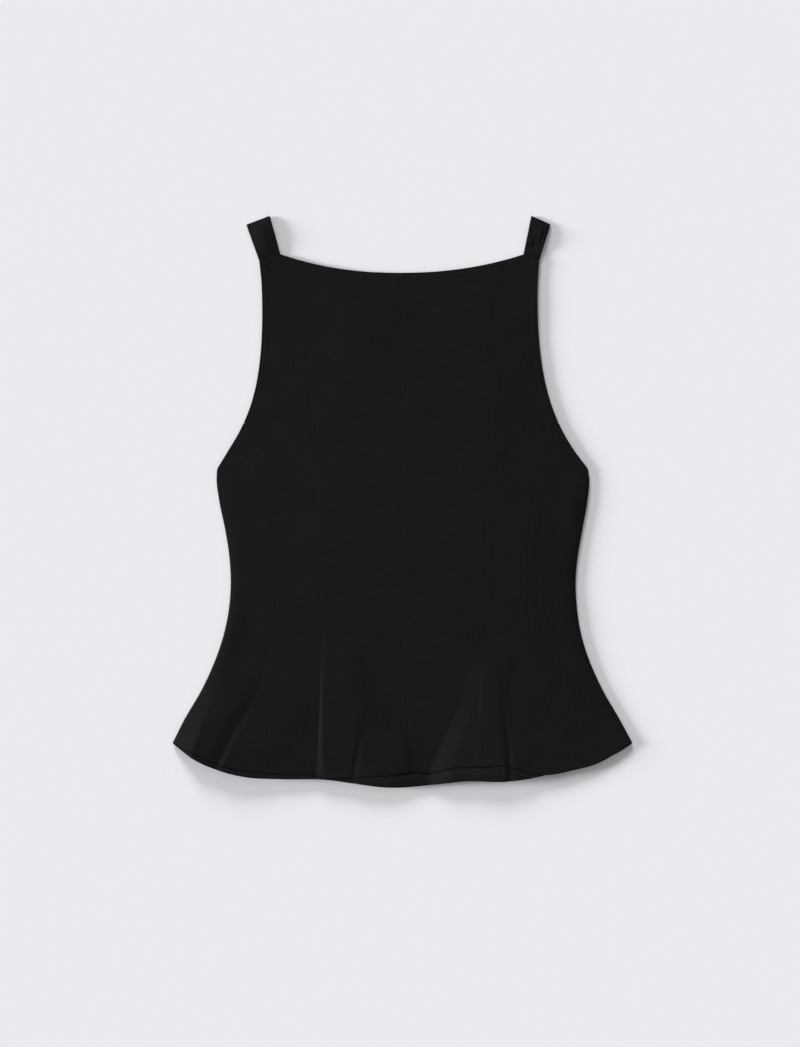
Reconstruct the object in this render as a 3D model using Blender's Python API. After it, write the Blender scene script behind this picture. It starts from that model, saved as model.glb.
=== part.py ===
"""A sleeveless top with a fluted peplum and two short shoulder straps, laid flat on a table.

It is built from its cut pieces: six front panels, three back panels and two folded straps. Every piece is a
wall of cloth, lofted through the stations of the tables below, and two pieces that are sewn together lie a
small seam gap apart. The front lies on the back, and its hem rises in flutes.

Axes: +X to the viewer's right, +Y towards the straps, +Z up from the table. The origin is on the table, under
the middle of the top. "left" and "right" in a name are the viewer's. A station is a height along +Y, which a
row of points keeps until it nears the neckline or the hem, whose curves it then takes on.
"""

from collections import namedtuple

import bmesh
import bpy
import numpy as np

for old in list(bpy.data.objects):
    bpy.data.objects.remove(old)

GARMENT = bpy.data.collections.new("peplum_top")
bpy.context.scene.collection.children.link(GARMENT)

MM = 0.001

# Driving sizes, in millimetres.
CLOTH = 1.2  # a cut piece: its shell and what backs it
STRAP_CLOTH = 1.0
LAYER_GAP = 0.3  # between the front and the back that it lies on
SEAM_GAP = 0.3  # between two pieces that are sewn together
BACK_DROP = 2.0  # how far the back's neckline lies below the front's
BACK_INSET = 0.8  # how far the back's armholes lie inside the front's
SIDE_ROUND = 1.35  # reach of the rounding where the cloth turns over at the side
SIDE_RIM = 0.2  # height of a side edge below that rounding
SEAT_ARCH = 2.0  # how far the seam of a strap's foot arches above the line between its corners

# Heights above the table.
BACK_TOP = CLOTH
FRONT_UNDER = BACK_TOP + LAYER_GAP
FRONT_TOP = FRONT_UNDER + CLOTH

# Stations of the garment.
TOP, UNDERARM, WAIST, RELEASE, MID, LOW, HEM = 265, 36, -87, -155, -215, -240, -266
SIDE_TIP = 86  # the side panels' highest station, just under where their seam runs into the armhole
NECK_BLEND = 205  # above it the rows bend to the neckline
HEM_BLEND = -165  # below it they bend to the hem
FRONT_STATIONS = (
    265, 250, 230, 205, 180, 155, 130, 108, 86, 70, 53, 36, 18, -4, -28, -56,
    -87, -112, -135, -155, -172, -190, -208, -226, -246, -266,
)  # fmt: skip
BACK_STATIONS = (
    265, 245, 220, 180, 140, 108, 80, 56, 36, 10, -28, -60, -87, -120, -155, -190, -208, -226, -240, -253, -266,
)  # fmt: skip

BLACK_CREPE = (0.012, 0.011, 0.012, 1.0)


def table(columns, *rows):
    """The columns of a short table by name, each an array."""
    return dict(zip(columns.split(), np.array(rows, float).T))


# The outline, from the strap's foot down the armhole to the underarm, and down the side fold to the hem.
ARMHOLE = table(
    "station left right",
    (265, -157.5, 150.4),
    (241, -155.2, 148.8),
    (213, -154.3, 148.5),
    (188, -154.6, 149.4),
    (166, -155.8, 151.3),
    (144, -158.3, 154.4),
    (122, -162.4, 159.2),
    (100, -169.0, 166.1),
    (78, -178.7, 175.8),
    (56, -191.6, 188.9),
    (36, -203.8, 204.0),
)
SIDE = table(
    "station left right",
    (36, -203.8, 204.0),
    (24, -204.3, 205.1),
    (1, -201.4, 203.1),
    (-32, -194.6, 197.3),
    (-65, -189.8, 191.8),
    (-87, -188.7, 190.1),
    (-109, -189.7, 190.9),
    (-142, -195.3, 195.4),
    (-175, -206.0, 205.4),
    (-208, -221.0, 220.3),
    (-241, -240.1, 239.2),
    (-266, -252.5, 252.5),
)

# The seams of the front above the peplum, and the lines below the straps' inner corners.
BODY = table(
    "station outer_left strap_left inner_left centre inner_right strap_right outer_right",
    (265, -157.5, -134.2, -105.0, -3.0, 101.0, 133.0, 150.4),
    (180, -154.8, -131.0, -103.5, -1.6, 99.5, 128.0, 149.8),
    (120, -163.0, -132.0, -101.5, -0.6, 97.5, 129.0, 159.8),
    (88, -174.0, -133.0, -100.0, -0.4, 96.0, 130.0, 171.2),
    (55, -161.0, -130.0, -98.5, -0.3, 94.0, 127.0, 158.5),
    (0, -147.0, -121.0, -95.5, -0.2, 91.5, 117.0, 143.0),
    (-50, -141.0, -116.0, -93.0, 0.0, 90.0, 113.0, 137.5),
    (-87, -139.5, -114.0, -91.5, 0.0, 89.5, 112.0, 137.0),
)

# Lines down the front's peplum, from one side to the other. A crest or a valley has its x where the flutes are
# released, at two stations below and at the hem; its lift at the hem, the station where it starts to rise and
# the power it rises with; the hem's y there; and how many columns of the mesh lie between it and the next.
Line = namedtuple("Line", "name release mid low hem lift start power hem_y columns")
FRONT_LINES = (
    Line("side_left", -199.3, -225.0, -239.6, -252.5, 0.0, -155, 1.0, -266.0, 2),
    Line("crest_a", -186.0, -209.0, -220.5, -230.5, 6.6, -165, 1.4, -275.5, 2),
    Line("brow_c", -160.0, -186.0, -203.5, -217.0, 6.0, -165, 1.0, -282.4, 2),
    Line("outer_left", -144.0, -168.5, -186.5, -202.5, 5.0, -165, 1.6, -288.3, 2),
    Line("crest_c", -140.5, -164.0, -181.5, -197.5, 6.2, -165, 1.8, -290.0, 3),
    Line("strap_left", -113.0, -123.0, -133.0, -145.0, 3.2, -160, 1.2, -298.6, 3),
    Line("inner_left", -89.5, -91.5, -93.0, -95.5, 1.4, -150, 1.2, -301.0, 2),
    Line("crest_e", -86.0, -87.6, -88.3, -83.0, 4.0, -150, 1.1, -303.0, 2),
    Line("brow_e", -58.0, -55.0, -54.0, -60.0, 3.8, -150, 0.9, -303.8, 1),
    Line("valley_f", -40.0, -36.0, -47.5, -54.0, 3.5, -170, 1.2, -303.6, 1),
    Line("crest_g", -33.0, -30.0, -43.0, -47.5, 4.2, -190, 1.2, -302.8, 3),
    Line("crown_h", -3.0, 0.0, 3.0, 5.0, 2.7, -200, 1.2, -298.2, 1),
    Line("centre", 0.0, 5.0, 8.0, 10.0, 2.0, -190, 1.3, -297.0, 2),
    Line("valley_i", 80.0, 60.0, 45.0, 29.0, 0.9, -165, 1.3, -298.4, 3),
    Line("crest_j", 83.0, 80.0, 66.0, 57.0, 5.2, -162, 1.25, -292.2, 1),
    Line("dip_j", 85.5, 83.0, 73.0, 72.0, 5.4, -162, 1.25, -291.6, 2),
    Line("inner_right", 89.5, 86.5, 88.0, 90.0, 6.1, -162, 1.1, -291.3, 2),
    Line("brow_k", 112.0, 103.0, 109.0, 112.0, 6.5, -162, 1.0, -289.8, 1),
    Line("valley_k", 120.0, 112.0, 115.5, 117.5, 5.4, -162, 1.0, -291.0, 1),
    Line("crest_l", 126.0, 118.0, 119.5, 122.5, 6.1, -162, 1.3, -292.0, 3),
    Line("strap_right", 133.0, 137.0, 145.0, 153.0, 4.6, -160, 1.2, -300.8, 3),
    Line("outer_right", 143.0, 161.0, 175.0, 191.0, 3.2, -160, 1.2, -294.2, 2),
    Line("crest_n", 172.0, 191.0, 201.0, 212.0, 2.2, -170, 1.2, -288.5, 3),
    Line("side_right", 199.3, 224.2, 238.7, 252.5, 0.0, -155, 1.0, -266.0, 0),
)

# How far the body stands above its sides at the fullest, because its seams shape it.
PUFF = table(
    "station height",
    (265, 0.6),
    (200, 2.2),
    (100, 4.0),
    (36, 4.3),
    (0, 4.5),
    (-87, 4.2),
    (-155, 3.8),
    (-215, 2.0),
    (-266, 0.4),
)
PUFF_PEAK = 50.0  # x of the fullest place

# The back's hem, which shows below the front's wherever a flute draws that up.
BACK_HEM = table(
    "x y",
    (-252.5, -266.0),
    (-227.0, -285.4),
    (-200.0, -296.6),
    (-174.0, -302.9),
    (-134.0, -305.4),
    (-81.0, -306.4),
    (-55.0, -309.8),
    (-15.0, -313.9),
    (37.0, -310.6),
    (64.0, -307.9),
    (117.0, -307.8),
    (143.0, -304.2),
    (170.0, -297.8),
    (209.0, -287.0),
    (235.0, -276.8),
    (252.5, -266.0),
)
BACK_SEAM_RELEASE, BACK_SEAM_MID, BACK_SEAM_HEM = 91.0, 100.0, 110.5  # half the distance between the back's seams
BACK_SIDE_COLUMNS, BACK_CENTRE_COLUMNS = 12, 27
# Below the first y the back rises from the table, to lie close under the front's flutes from the second y down.
NEST_FROM, NEST_TO = -205, -262
NEST_SLACK = 0.75  # how much less than the flutes it rises

# The straps: the corners of the foot that is sewn on, and of the fold over the shoulder, outer and inner; then how
# far the upper stretch stands up halfway along it, at its outer edge, in its middle and at its inner edge.
Strap = namedtuple("Strap", "name foot_outer foot_inner fold_outer fold_inner rises")
STRAPS = (
    Strap("strap_left", (-157.5, 265.0), (-134.2, 272.0), (-170.9, 304.3), (-145.8, 313.9), (0.2, 2.1, 2.6)),
    Strap("strap_right", (150.4, 265.0), (133.0, 271.7), (162.7, 304.4), (141.6, 313.9), (1.4, 1.8, 1.5)),
)
STRAP_COLUMNS = 6
STRAP_ROWS = (0.0, 0.2, 0.5, 0.8, 1.0)  # shares of a stretch of strap, from its foot to where the fold begins
FOLD_ANGLES = (36, 72, 108, 144)

# The neckline is one shallow curve, lowest a little left of the middle.
NECK_LOW = (-4.0, 251.4)
NECK_POWER = 2.2


def curve(stations, values, at, level_turns=False):
    """A smooth curve through a table's points: cubic pieces that share the slope at each point. With level_turns
    it is level on its crests and in its valleys and never overshoots them."""
    order = np.argsort(stations)
    s, v = np.asarray(stations, float)[order], np.asarray(values, float)[order]
    slope = np.gradient(v, s)
    if level_turns:
        before, after = np.diff(v)[:-1] / np.diff(s)[:-1], np.diff(v)[1:] / np.diff(s)[1:]
        same_way = before * after > 0
        slope[1:-1] = np.where(same_way, 2 * before * after / np.where(same_way, before + after, 1), 0)
    at = np.clip(np.asarray(at, float), s[0], s[-1])
    i = np.clip(np.searchsorted(s, at) - 1, 0, len(s) - 2)
    width = s[i + 1] - s[i]
    t = (at - s[i]) / width
    return (
        (2 * t**3 - 3 * t**2 + 1) * v[i]
        + (t**3 - 2 * t**2 + t) * width * slope[i]
        + (3 * t**2 - 2 * t**3) * v[i + 1]
        + (t**3 - t**2) * width * slope[i + 1]
    )


def ease(t):
    """0 to 1 with no slope at either end."""
    t = np.clip(t, 0.0, 1.0)
    return t * t * (3 - 2 * t)


def edge(side, station):
    """x of the outline: the armhole above the underarm, and the side fold below it."""
    armhole = curve(ARMHOLE["station"], ARMHOLE[side], station)
    fold = curve(SIDE["station"], SIDE[side], station)
    return np.where(np.asarray(station) > UNDERARM, armhole, fold)


def seat_arch(share):
    """How far the seam of a strap's foot stands above the line between its corners."""
    return SEAT_ARCH * np.sin(np.pi * np.clip(share, 0, 1))


def neck_y(x):
    """y of the front's top edge: the neckline, and beside it the two arched seats of the straps."""
    left, right = STRAPS
    low_x, low_y = NECK_LOW
    side = np.where(x < low_x, left.foot_inner[0], right.foot_inner[0])
    rise = np.where(x < low_x, left.foot_inner[1], right.foot_inner[1]) - low_y
    y = low_y + rise * np.clip((x - low_x) / (side - low_x), 0, 1) ** NECK_POWER
    for strap in STRAPS:
        (inner_x, inner_y), (outer_x, outer_y) = strap.foot_inner, strap.foot_outer
        share = (x - inner_x) / (outer_x - inner_x)
        y = np.where(share > 0, inner_y + share * (outer_y - inner_y) + seat_arch(share), y)
    return y


def bend_row(x, station, neck_drop, hem_y):
    """y of a row's points: its station, bent to the neckline near the top, and near the bottom to the hem, whose
    y in each column is given."""
    y = station + ease((station - NECK_BLEND) / (TOP - NECK_BLEND)) * (neck_y(x) - neck_drop - TOP)
    share = np.clip((HEM_BLEND - station) / (HEM_BLEND - HEM), 0, 1)
    return y + share * (hem_y - HEM)


def front_hem(x):
    return curve([line.hem for line in FRONT_LINES], [line.hem_y for line in FRONT_LINES], x)


def back_hem(x):
    return curve(BACK_HEM["x"], BACK_HEM["y"], x)


def puff(x, station):
    """Height of the body over its sides, as a low arch from one to the other."""
    left, right = edge("left", station), edge("right", station)
    reach = np.where(x < PUFF_PEAK, PUFF_PEAK - left, right - PUFF_PEAK)
    across = np.clip((x - PUFF_PEAK) / reach, -1, 1)
    return curve(PUFF["station"], PUFF["height"], station) * (1 - across**2)


def line_x(station):
    """x of every line of FRONT_LINES at one station."""
    found = {}
    peplum = np.array([RELEASE, MID, LOW, HEM])
    for line in FRONT_LINES:
        xs = (line.release, line.mid, line.low, line.hem)
        if line.name.startswith("side_"):
            found[line.name] = edge(line.name[5:], station)
        elif line.name in BODY:
            stations = np.concatenate([BODY["station"], peplum])
            found[line.name] = curve(stations, np.concatenate([BODY[line.name], xs]), station)
        elif station <= RELEASE:
            found[line.name] = curve(peplum, xs, station)
    # Above the armhole's seam the outer lines run along its edge.
    if station > SIDE_TIP:
        found["outer_left"], found["outer_right"] = edge("left", station), edge("right", station)
    # Above the peplum the other lines are spread between the seams, evenly once they are over the waist.
    anchors = [i for i, line in enumerate(FRONT_LINES) if line.name.startswith("side_") or line.name in BODY]
    relax = ease((station - RELEASE) / (WAIST - RELEASE))
    for first, last in zip(anchors, anchors[1:]):
        a, b = FRONT_LINES[first], FRONT_LINES[last]
        between = sum(line.columns for line in FRONT_LINES[first:last])
        for i in range(first + 1, last):
            line = FRONT_LINES[i]
            if line.name in found:
                continue
            even = sum(other.columns for other in FRONT_LINES[first:i]) / between
            released = (line.release - a.release) / (b.release - a.release)
            share = released + (even - released) * relax
            found[line.name] = found[a.name] + share * (found[b.name] - found[a.name])
    return np.array([found[line.name] for line in FRONT_LINES], float)


def line_lift(station):
    """Height that each line of FRONT_LINES has risen to at one station."""
    found = []
    for line in FRONT_LINES:
        share = np.clip((line.start - station) / (line.start - HEM), 0, 1)
        found.append(line.lift * share**line.power)
    return np.array(found)


def front_row(station, first, last):
    """x and top z of a row's points from one line of FRONT_LINES to another."""
    xs, lifts = line_x(station), line_lift(station)
    x = [xs[first]]
    for i in range(first, last):
        share = np.arange(1, FRONT_LINES[i].columns + 1) / FRONT_LINES[i].columns
        x.extend(xs[i] + share * (xs[i + 1] - xs[i]))
    x = np.array(x)
    apart = np.diff(xs, prepend=-np.inf) > 0  # along an armhole the side and outer lines run together
    return x, FRONT_TOP + curve(xs[apart], lifts[apart], x, level_turns=True) + puff(x, station)


def front_rise(x, y):
    """How far the front has risen at a point. The station of the row that passes there is found in a few steps,
    because each column bends to the hem by an amount of its own."""
    station = y
    for _ in range(4):
        hem_y = front_hem(np.interp(x, line_x(station), line_x(HEM)))
        share = (HEM_BLEND - y) / (HEM_BLEND - hem_y)
        station = max(HEM, HEM_BLEND - share * (HEM_BLEND - HEM))
    return float(curve(line_x(station), line_lift(station), x, level_turns=True) + puff(x, station))


def nest(x, y):
    """How far the back rises under the front's flutes, at each point of a row."""
    share = ease((NEST_FROM - y) / (NEST_FROM - NEST_TO))
    risen = [front_rise(*point) if point[1] < NEST_FROM else 0.0 for point in zip(x, y)]
    return share * np.maximum(np.array(risen) - NEST_SLACK, 0)


def round_side(x, z, at_start, floor):
    """Adds the rounding of a side edge to a row: two columns close to the edge, the outer one down at floor."""
    inward = 1 if at_start else -1
    end = 0 if at_start else -1
    out_x, top = x[end], z[end]
    rim_z = floor + np.sign(top - floor) * SIDE_RIM
    new_x = [out_x, out_x + inward * 0.3 * SIDE_ROUND, out_x + inward * SIDE_ROUND]
    new_z = [rim_z, rim_z + 0.7 * (top - rim_z), top]
    if at_start:
        return np.concatenate([new_x, x[1:]]), np.concatenate([new_z, z[1:]])
    return np.concatenate([x[:-1], new_x[::-1]]), np.concatenate([z[:-1], new_z[::-1]])


def wall(name, outer, inner):
    """A piece of cloth: the solid between two grids of points, rows by columns, closed round its four edges."""
    rows, columns = outer.shape[:2]
    points = np.concatenate([outer.reshape(-1, 3), inner.reshape(-1, 3)]) * MM
    index = np.arange(rows * columns).reshape(rows, columns)
    under = index + rows * columns
    sheet = np.stack([index[:-1, :-1], index[:-1, 1:], index[1:, 1:], index[1:, :-1]], -1).reshape(-1, 4)
    ring = np.concatenate([index[0, :-1], index[:-1, -1], index[-1, :0:-1], index[:0:-1, 0]])
    after = np.roll(ring, -1)
    rim = np.stack([ring, ring + rows * columns, after + rows * columns, after], -1)
    back = under.reshape(-1)[sheet[:, ::-1]]
    mesh = bpy.data.meshes.new(name)
    mesh.from_pydata(points.tolist(), [], np.concatenate([sheet, back, rim]).tolist())
    solid = bmesh.new()
    solid.from_mesh(mesh)
    bmesh.ops.recalc_face_normals(solid, faces=solid.faces)
    solid.to_mesh(mesh)
    solid.free()
    mesh.shade_smooth()
    mesh.set_sharp_from_angle(angle=np.radians(40))
    piece = bpy.data.objects.new(name, mesh)
    piece.data.materials.append(cloth_material(name))
    GARMENT.objects.link(piece)


def cloth_material(name):
    """Matt black crepe."""
    material = bpy.data.materials.new(name)
    material.use_nodes = True
    shader = material.node_tree.nodes["Principled BSDF"]
    shader.inputs["Base Color"].default_value = BLACK_CREPE
    shader.inputs["Roughness"].default_value = 0.9
    shader.inputs["Metallic"].default_value = 0.0
    return material


def seam_inset(row, start, end):
    """Draws the ends of a row in by half the seam gap where they are sewn to another piece."""
    row = row.copy()
    row[0] += SEAM_GAP / 2 * start
    row[-1] -= SEAM_GAP / 2 * end
    return row


def front_panel(name, first_line, last_line):
    """A front panel, between two of the front's lines. A panel that ends at a side stops under the armhole."""
    names = [line.name for line in FRONT_LINES]
    first, last = names.index(first_line), names.index(last_line)
    at_left, at_right = first_line == "side_left", last_line == "side_right"
    stations = [s for s in FRONT_STATIONS if s <= SIDE_TIP or not (at_left or at_right)]
    outer, inner = [], []
    for station in reversed(stations):
        x, z = front_row(station, first, last)
        under = np.maximum(z - CLOTH * np.sqrt(1 + np.gradient(z, x) ** 2), FRONT_UNDER)
        in_armhole = station > SIDE_TIP  # there the outer lines are the armholes' edges, not seams
        sewn_left = not at_left and not (in_armhole and first_line == "outer_left")
        sewn_right = not at_right and not (in_armhole and last_line == "outer_right")
        x = seam_inset(x, sewn_left, sewn_right)
        if at_left or at_right:
            under = np.concatenate([under[:1].repeat(2 * at_left), under, under[-1:].repeat(2 * at_right)])
            x, z = round_side(x, z, at_left, FRONT_UNDER)
        if not outer:
            hem_y = front_hem(x)
        y = bend_row(x, station, 0.0, hem_y)
        outer.append(np.stack([x, y, z], -1))
        inner.append(np.stack([x, y, under], -1))
    wall(name, np.array(outer), np.array(inner))


def back_seam(station):
    """x of the back's left and right seams: below the front's inner ones on the body, and flared in the peplum."""
    peplum = [RELEASE, MID, HEM]
    half = [BACK_SEAM_RELEASE, BACK_SEAM_MID, BACK_SEAM_HEM]
    stations = np.concatenate([BODY["station"], peplum])
    left = curve(stations, np.concatenate([BODY["inner_left"], -np.array(half)]), station)
    right = curve(stations, np.concatenate([BODY["inner_right"], half]), station)
    return left, right


def back_panel(name, part):
    """A panel of the back, flat on the table but for its hem. part is -1 for the left side, 0 for the middle and 1
    for the right side."""
    outer, inner = [], []
    for station in reversed(BACK_STATIONS):
        seam_left, seam_right = back_seam(station)
        inset = BACK_INSET if station > UNDERARM else 0.0
        ends = {
            -1: (edge("left", station) + inset, seam_left),
            0: (seam_left, seam_right),
            1: (seam_right, edge("right", station) - inset),
        }[part]
        columns = BACK_SIDE_COLUMNS if part else BACK_CENTRE_COLUMNS
        x = seam_inset(np.linspace(*ends, columns + 1), part != -1, part != 1)
        under = np.zeros(columns + 1)
        if part:
            x, under = round_side(x, under, part == -1, BACK_TOP)
        if not outer:
            hem_y = back_hem(x)
        y = bend_row(x, station, BACK_DROP, hem_y)
        rise = nest(x, y)
        outer.append(np.stack([x, y, under + rise], -1))
        inner.append(np.stack([x, y, BACK_TOP + rise], -1))
    wall(name, np.array(outer), np.array(inner))


def strap_piece(strap):
    """A ribbon that rises from the front's top corner, folds over at the shoulder and runs down behind to the
    back's. Its upper stretch tips and swells a little."""
    foot = np.array([strap.foot_outer, strap.foot_inner])
    fold = np.array([strap.fold_outer, strap.fold_inner])
    share = np.linspace(0, 1, STRAP_COLUMNS + 1)[:, None]
    foot, fold = foot[0] + share * (foot[1] - foot[0]), fold[0] + share * (fold[1] - fold[0])
    up = (fold - foot).mean(0)
    up /= np.linalg.norm(up)
    foot[:, 1] += seat_arch(share[:, 0])
    turn = (2 * STRAP_CLOTH + LAYER_GAP + CLOTH - STRAP_CLOTH) / 2  # outer radius of the fold over the shoulder
    axis_line = fold - turn * up
    front_foot = foot + SEAM_GAP * up
    back_foot = foot + (SEAM_GAP - BACK_DROP) * up
    rises = curve((0.0, 0.5, 1.0), strap.rises, share[:, 0])
    outer, inner = [], []

    def add(line, outer_z, inner_z, outer_out=0.0, inner_out=0.0):
        for grid, z, out in ((outer, outer_z, outer_out), (inner, inner_z, inner_out)):
            grid.append(np.column_stack([line + out * up, np.broadcast_to(z, len(line))]))

    for t in STRAP_ROWS:
        lift = rises * np.sin(np.pi * t)
        add(front_foot + t * (axis_line - front_foot), 2 * turn + lift, 2 * turn - STRAP_CLOTH + lift)
    for angle in np.radians(FOLD_ANGLES):
        reach = turn - STRAP_CLOTH
        add(
            axis_line,
            turn + turn * np.cos(angle),
            turn + reach * np.cos(angle),
            turn * np.sin(angle),
            reach * np.sin(angle),
        )
    for t in STRAP_ROWS[::-1]:
        add(back_foot + t * (axis_line - back_foot), 0.0, STRAP_CLOTH)
    wall(strap.name, np.array(outer), np.array(inner))


front_panel("front_side_left", "side_left", "outer_left")
front_panel("front_middle_left", "outer_left", "inner_left")
front_panel("front_centre_left", "inner_left", "centre")
front_panel("front_centre_right", "centre", "inner_right")
front_panel("front_middle_right", "inner_right", "outer_right")
front_panel("front_side_right", "outer_right", "side_right")

back_panel("back_side_left", -1)
back_panel("back_centre", 0)
back_panel("back_side_right", 1)

for shoulder in STRAPS:
    strap_piece(shoulder)
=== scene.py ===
"""A sleeveless black crepe top with a fluted peplum and two short shoulder straps, laid flat on a table."""

import bmesh
import bpy
import numpy as np
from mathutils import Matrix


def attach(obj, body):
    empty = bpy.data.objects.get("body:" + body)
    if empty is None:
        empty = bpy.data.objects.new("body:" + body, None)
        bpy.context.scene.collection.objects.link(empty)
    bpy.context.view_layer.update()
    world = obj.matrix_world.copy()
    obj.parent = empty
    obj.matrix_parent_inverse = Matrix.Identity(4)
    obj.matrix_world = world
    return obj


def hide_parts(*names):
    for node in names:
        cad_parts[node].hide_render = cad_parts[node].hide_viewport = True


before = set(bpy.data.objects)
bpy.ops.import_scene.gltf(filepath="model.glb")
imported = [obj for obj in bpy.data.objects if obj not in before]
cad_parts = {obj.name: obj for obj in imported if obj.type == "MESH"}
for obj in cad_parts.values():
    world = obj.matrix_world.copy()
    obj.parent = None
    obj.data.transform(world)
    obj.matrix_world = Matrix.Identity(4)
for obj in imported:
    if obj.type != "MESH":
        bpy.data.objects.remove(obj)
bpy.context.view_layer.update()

# ---------------------------------------------------------------------------------------------------------
# The front: six panels of matt black crepe, cut from neckline or armhole to hem in one, with the peplum's
# flare in their cut. They are sewn edge to edge with the allowances pressed open behind, and the flare lies
# in flutes, because the seams let go of more cloth than the table has room for.

MM = 0.001  # the sizes below are in millimetres
CLOTH = 0.9  # thickness of the crepe
BACK_TOP = 1.1  # the back's upper face, which the front lies over
FRONT_TOP = 2.7  # the front's upper face where nothing lifts it
SIDE_SEAM = 1.35  # height of the seam at which the front turns over into the back, and radius of that turn
TOP, UNDERARM, RELEASE, MID, LOW, HEM = 265, 36, -155, -215, -240, -266  # stations, from the straps down
SIDE_TIP = 86  # where the outer seams run into the armholes
NECK_BLEND, HEM_BLEND = 205, -165  # beyond these the rows bend to the neckline and to the hem
ACROSS, DOWN, FINE = 1.4, 2.3, 0.35  # distances between a panel's points: FINE is down, near the back's hem


def table(columns, *rows):
    """The columns of a short table by name, each an array."""
    return dict(zip(columns.split(), np.array(rows, float).T))


# x of the outline at each station: down the armholes, and on down the side folds to the hem.
ARMHOLE = table(
    "station left right",
    (265, -157.5, 150.4),
    (241, -155.2, 148.8),
    (213, -154.3, 148.5),
    (188, -154.6, 149.4),
    (166, -155.8, 151.3),
    (144, -158.3, 154.4),
    (122, -162.4, 159.2),
    (100, -169.0, 166.1),
    (78, -178.7, 175.8),
    (56, -191.6, 188.9),
    (36, -203.8, 204.0),
)
SIDE = table(
    "station left right",
    (36, -203.8, 204.0),
    (24, -204.3, 205.1),
    (1, -201.4, 203.1),
    (-32, -194.6, 197.3),
    (-65, -189.8, 191.8),
    (-87, -188.7, 190.1),
    (-109, -189.7, 190.9),
    (-142, -195.3, 195.4),
    (-175, -206.0, 205.4),
    (-208, -221.0, 220.3),
    (-241, -240.1, 239.2),
    (-266, -252.5, 252.5),
)
# The seams, down the body to the waist.
BODY = table(
    "station outer_left inner_left centre inner_right outer_right",
    (265, -157.5, -105.0, -3.0, 101.0, 150.4),
    (180, -154.8, -103.5, -1.6, 99.5, 149.8),
    (120, -163.0, -101.5, -0.6, 97.5, 159.8),
    (88, -174.0, -100.0, -0.4, 96.0, 171.2),
    (55, -161.0, -98.5, -0.3, 94.0, 158.5),
    (0, -147.0, -95.5, -0.2, 91.5, 143.0),
    (-50, -141.0, -93.0, 0.0, 90.0, 137.5),
    (-87, -139.5, -91.5, 0.0, 89.5, 137.0),
)
# The crests and valleys down the peplum from side to side, with the seams among them.
LINES = (
    "side_left crest_a brow_c outer_left crest_c plain_d inner_left crest_e brow_e valley_f crest_g crown_h "
    "centre valley_i crest_j dip_j inner_right brow_k valley_k crest_l plain_m outer_right crest_n side_right"
).split()
# A row for each of them: x where the seams let go, at two stations below and at the hem, then the lift at the
# hem, the station that it grows from, the power of that growth, how sharply the cloth turns there (0 round,
# 1 creased), and the hem's y.
FLUTES = table(
    "release mid low hem lift start power sharp hem_y",
    (-199.3, -225.0, -239.6, -252.5, 0.0, -155, 1.0, 0.0, -265.2),
    (-186.0, -209.0, -220.5, -230.5, 7.8, -165, 1.6, 0.8, -275.5),
    (-160.0, -186.0, -203.5, -217.0, 7.6, -165, 1.3, 0.0, -282.4),
    (-144.0, -168.5, -186.5, -202.5, 6.4, -165, 1.9, 0.5, -288.3),
    (-140.5, -164.0, -181.5, -197.5, 7.8, -165, 2.1, 0.6, -290.0),
    (-113.0, -123.0, -133.0, -145.0, 4.4, -160, 1.5, 0.0, -298.6),
    (-89.5, -91.5, -93.0, -95.5, 2.2, -150, 1.5, 0.5, -301.0),
    (-86.0, -87.6, -88.3, -83.0, 4.9, -150, 1.2, 0.3, -303.0),
    (-58.0, -55.0, -54.0, -60.0, 4.6, -150, 1.1, 0.0, -303.8),
    (-40.0, -36.0, -47.5, -54.0, 4.1, -170, 1.3, 0.5, -303.6),
    (-33.0, -30.0, -43.0, -47.5, 5.0, -190, 1.3, 0.5, -302.8),
    (-3.0, 0.0, 3.0, 5.0, 2.7, -200, 1.2, 0.5, -298.2),
    (0.0, 5.0, 8.0, 10.0, 2.0, -190, 1.3, 0.4, -297.0),
    (80.0, 60.0, 45.0, 29.0, 0.9, -165, 1.3, 0.9, -298.4),
    (83.0, 80.0, 66.0, 57.0, 5.2, -162, 1.25, 0.3, -292.2),
    (85.5, 83.0, 73.0, 72.0, 5.4, -162, 1.25, 0.0, -291.6),
    (89.5, 86.5, 88.0, 90.0, 6.1, -162, 1.1, 0.3, -291.3),
    (112.0, 103.0, 109.0, 112.0, 6.5, -162, 1.0, 0.3, -289.8),
    (120.0, 112.0, 115.5, 117.5, 5.4, -162, 1.0, 0.5, -291.0),
    (126.0, 118.0, 119.5, 122.5, 6.1, -162, 1.3, 0.5, -292.0),
    (133.0, 137.0, 145.0, 153.0, 4.6, -160, 1.2, 0.0, -300.0),
    (143.0, 161.0, 175.0, 191.0, 3.2, -160, 1.2, 0.0, -294.2),
    (172.0, 191.0, 201.0, 212.0, 2.2, -170, 1.2, 0.0, -288.5),
    (199.3, 224.2, 238.7, 252.5, 0.0, -155, 1.0, 0.0, -265.2),
)
# How far the body stands above its sides at the fullest, and how far it rises in the side fold's soft roll.
PUFF = table(
    "station height roll",
    (265, 0.6, 0.0),
    (200, 1.6, 0.0),
    (100, 3.3, 0.0),
    (36, 3.9, 0.3),
    (0, 4.0, 0.6),
    (-87, 3.5, 1.2),
    (-155, 3.2, 1.1),
    (-215, 1.6, 0.9),
    (-266, 0.3, 0.5),
)
PUFF_PEAK = 56.0  # x at which it is fullest
ROLL_REACH = 4.5  # how far in from the side its roll is nearly done
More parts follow.
